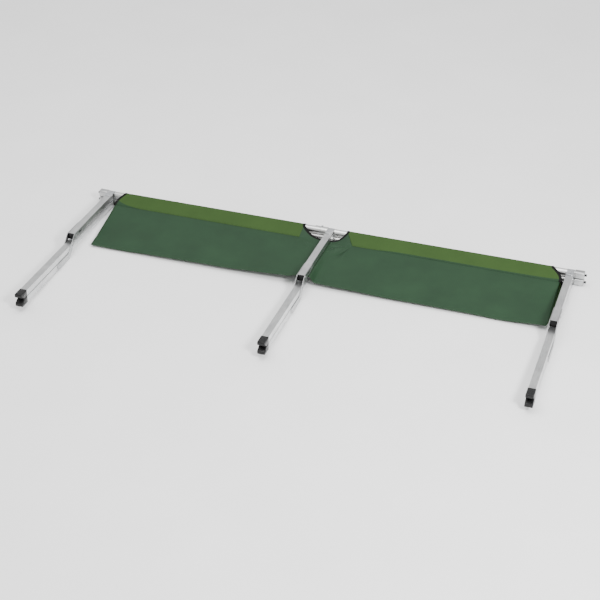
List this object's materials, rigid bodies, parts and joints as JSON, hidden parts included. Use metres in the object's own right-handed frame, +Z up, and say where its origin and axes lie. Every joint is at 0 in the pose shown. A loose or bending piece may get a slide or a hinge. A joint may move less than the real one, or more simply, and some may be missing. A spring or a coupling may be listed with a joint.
{
  "type": "folding cot",
  "caption": "Folding camp cot lying closed on its side: two tubular side rails, crossed legs swung out and a cloth bed doubled between the rails.",
  "frame": {"origin": "centre of the bounding box, on the floor that the closed cot lies on", "axes": "+X along the side rails, -Y towards the feet, +Z up from the floor"},
  "size_m": [1.904, 0.7948, 0.0741],
  "materials": {
    "rail_tube": "satin anodised tube",
    "leg_tube": "bright drawn aluminium, lightly brushed",
    "bracket": "bright zinc plated sheet steel",
    "side_plate": "stamped aluminium plate",
    "steel_pin": "plated steel pins and rivets",
    "end_block": "satin cast aluminium",
    "black_plastic": "moulded black polypropylene",
    "bed_cloth": "coated green woven nylon"
  },
  "bodies": {
    "lower_rail_right": {"lower_rail_right_tube": "rail_tube", "lower_end_block_right": "end_block", "lower_end_pin_right": "black_plastic", "lower_hinge_leaf_right": "bracket", "lower_hinge_pin": "steel_pin"},
    "lower_rail_left": {"lower_rail_left_tube": "rail_tube", "lower_end_block_left": "end_block", "lower_end_pin_left": "black_plastic", "lower_hinge_leaf_left": "bracket"},
    "upper_rail_right": {"upper_rail_right_tube": "rail_tube", "upper_end_block_right": "end_block", "upper_end_pin_right": "black_plastic", "upper_hinge_leaf_right": "bracket", "upper_hinge_pin": "steel_pin"},
    "upper_rail_left": {"upper_rail_left_tube": "rail_tube", "upper_end_block_left": "end_block", "upper_end_pin_left": "black_plastic", "upper_hinge_leaf_left": "bracket"},
    "left_lower_bracket": {"left_lower_bracket_strap": "bracket", "left_lower_bracket_pin": "steel_pin"},
    "left_upper_bracket": {"left_upper_bracket_strap": "bracket", "left_upper_bracket_pin": "steel_pin"},
    "left_straight_arm": {"left_straight_tube": "leg_tube", "left_straight_foot": "black_plastic"},
    "left_cranked_arm": {"left_upper_tube": "leg_tube", "left_tube_plug": "black_plastic", "left_side_plates": "side_plate", "left_lower_tube": "leg_tube", "left_lower_foot": "black_plastic", "left_rivets": "steel_pin"},
    "middle_lower_bracket": {"middle_lower_bracket_strap": "bracket", "middle_lower_bracket_pin": "steel_pin"},
    "middle_upper_bracket": {"middle_upper_bracket_strap": "bracket", "middle_upper_bracket_pin": "steel_pin"},
    "middle_straight_arm": {"middle_straight_tube": "leg_tube", "middle_straight_foot": "black_plastic"},
    "middle_cranked_arm": {"middle_upper_tube": "leg_tube", "middle_tube_plug": "black_plastic", "middle_side_plates": "side_plate", "middle_lower_tube": "leg_tube", "middle_lower_foot": "black_plastic", "middle_rivets": "steel_pin"},
    "right_lower_bracket": {"right_lower_bracket_strap": "bracket", "right_lower_bracket_pin": "steel_pin"},
    "right_upper_bracket": {"right_upper_bracket_strap": "bracket", "right_upper_bracket_pin": "steel_pin"},
    "right_straight_arm": {"right_straight_tube": "leg_tube", "right_straight_foot": "black_plastic"},
    "right_cranked_arm": {"right_upper_tube": "leg_tube", "right_tube_plug": "black_plastic", "right_side_plates": "side_plate", "right_lower_tube": "leg_tube", "right_lower_foot": "black_plastic", "right_rivets": "steel_pin"},
    "lower_cloth_left_half": {"lower_cloth_left": "bed_cloth"},
    "lower_cloth_right_half": {"lower_cloth_right": "bed_cloth"},
    "upper_cloth_left_half": {"upper_cloth_left": "bed_cloth"},
    "upper_cloth_right_half": {"upper_cloth_right": "bed_cloth"}
  },
  "joints": [
    {"name": "scissor", "type": "hinge", "parent": "lower_rail_right", "child": "middle_lower_bracket", "pos_m": [0, 0.37431, 0.01375], "axis": [1, 0, 0], "range_deg": [-53.1, 0]},
    {"name": "middle_upper_bracket_turn", "type": "hinge", "parent": "middle_lower_bracket", "child": "middle_upper_bracket", "pos_m": [0, -0.00707, 0.03556], "axis": [1, 0, 0], "range_deg": [0, 106.2]},
    {"name": "upper_rail_turn", "type": "hinge", "parent": "middle_upper_bracket", "child": "upper_rail_right", "pos_m": [0, 0.37591, 0.0417], "axis": [1, 0, 0], "range_deg": [-53.1, 0]},
    {"name": "rail_fold", "type": "hinge", "parent": "lower_rail_right", "child": "lower_rail_left", "pos_m": [-0.0403, 0.39128, 0.01278], "axis": [0, -0.0571, -0.9984], "range_deg": [0, 180]},
    {"name": "upper_rail_fold", "type": "hinge", "parent": "upper_rail_right", "child": "upper_rail_left", "pos_m": [-0.0403, 0.39288, 0.04073], "axis": [0, -0.0571, -0.9984], "range_deg": [0, 180]},
    {"name": "left_lower_bracket_turn", "type": "hinge", "parent": "lower_rail_left", "child": "left_lower_bracket", "pos_m": [-0.895, 0.37431, 0.01375], "axis": [1, 0, 0], "range_deg": [-53.1, 0]},
    {"name": "left_upper_bracket_turn", "type": "hinge", "parent": "upper_rail_left", "child": "left_upper_bracket", "pos_m": [-0.895, 0.37591, 0.0417], "axis": [1, 0, 0], "range_deg": [0, 53.1]},
    {"name": "left_leg_swing", "type": "hinge", "parent": "left_lower_bracket", "child": "left_straight_arm", "pos_m": [-0.895, 0.34436, 0.01546], "axis": [0, 0.0571, 0.9984], "range_deg": [0, 90]},
    {"name": "left_leg_cross", "type": "hinge", "parent": "left_straight_arm", "child": "left_cranked_arm", "pos_m": [-0.895, -0.00707, 0.03556], "axis": [1, 0, 0], "range_deg": [0, 106.2]},
    {"name": "middle_leg_swing", "type": "hinge", "parent": "middle_lower_bracket", "child": "middle_straight_arm", "pos_m": [0, 0.34436, 0.01546], "axis": [0, 0.0571, 0.9984], "range_deg": [0, 76]},
    {"name": "middle_leg_cross", "type": "hinge", "parent": "middle_straight_arm", "child": "middle_cranked_arm", "pos_m": [0, -0.00707, 0.03556], "axis": [1, 0, 0], "range_deg": [0, 106.2]},
    {"name": "right_lower_bracket_turn", "type": "hinge", "parent": "lower_rail_right", "child": "right_lower_bracket", "pos_m": [0.895, 0.37431, 0.01375], "axis": [1, 0, 0], "range_deg": [-53.1, 0]},
    {"name": "right_upper_bracket_turn", "type": "hinge", "parent": "upper_rail_right", "child": "right_upper_bracket", "pos_m": [0.895, 0.37591, 0.0417], "axis": [1, 0, 0], "range_deg": [0, 53.1]},
    {"name": "right_leg_swing", "type": "hinge", "parent": "right_lower_bracket", "child": "right_straight_arm", "pos_m": [0.895, 0.34436, 0.01546], "axis": [0, -0.0571, -0.9984], "range_deg": [0, 90]},
    {"name": "right_leg_cross", "type": "hinge", "parent": "right_straight_arm", "child": "right_cranked_arm", "pos_m": [0.895, -0.00707, 0.03556], "axis": [1, 0, 0], "range_deg": [0, 106.2]},
    {"name": "lower_cloth_left_turn", "type": "hinge", "parent": "lower_rail_left", "child": "lower_cloth_left_half", "pos_m": [0, 0.37431, 0.01375], "axis": [1, 0, 0], "range_deg": [-92.37, 0], "deforming": ["lower_cloth_left"]},
    {"name": "upper_cloth_left_turn", "type": "hinge", "parent": "upper_rail_left", "child": "upper_cloth_left_half", "pos_m": [0, 0.37591, 0.0417], "axis": [1, 0, 0], "range_deg": [0, 82.57], "deforming": ["upper_cloth_left"]},
    {"name": "lower_cloth_right_turn", "type": "hinge", "parent": "lower_rail_right", "child": "lower_cloth_right_half", "pos_m": [0, 0.37431, 0.01375], "axis": [1, 0, 0], "range_deg": [-92.37, 0], "deforming": ["lower_cloth_right"]},
    {"name": "upper_cloth_right_turn", "type": "hinge", "parent": "upper_rail_right", "child": "upper_cloth_right_half", "pos_m": [0, 0.37591, 0.0417], "axis": [1, 0, 0], "range_deg": [0, 82.57], "deforming": ["upper_cloth_right"]}
  ],
  "couplings": [
    {"joint": "middle_upper_bracket_turn", "follows": "scissor", "ratio": -2},
    {"joint": "upper_rail_turn", "follows": "scissor", "ratio": 1},
    {"joint": "upper_rail_fold", "follows": "rail_fold", "ratio": 1},
    {"joint": "left_lower_bracket_turn", "follows": "scissor", "ratio": 1},
    {"joint": "left_upper_bracket_turn", "follows": "scissor", "ratio": -1},
    {"joint": "left_leg_cross", "follows": "scissor", "ratio": -2},
    {"joint": "middle_leg_cross", "follows": "scissor", "ratio": -2},
    {"joint": "right_lower_bracket_turn", "follows": "scissor", "ratio": 1},
    {"joint": "right_upper_bracket_turn", "follows": "scissor", "ratio": -1},
    {"joint": "right_leg_cross", "follows": "scissor", "ratio": -2},
    {"joint": "lower_cloth_left_turn", "follows": "scissor", "ratio": 1.7394},
    {"joint": "upper_cloth_left_turn", "follows": "scissor", "ratio": -1.5549},
    {"joint": "lower_cloth_right_turn", "follows": "scissor", "ratio": 1.7394},
    {"joint": "upper_cloth_right_turn", "follows": "scissor", "ratio": -1.5549}
  ]
}
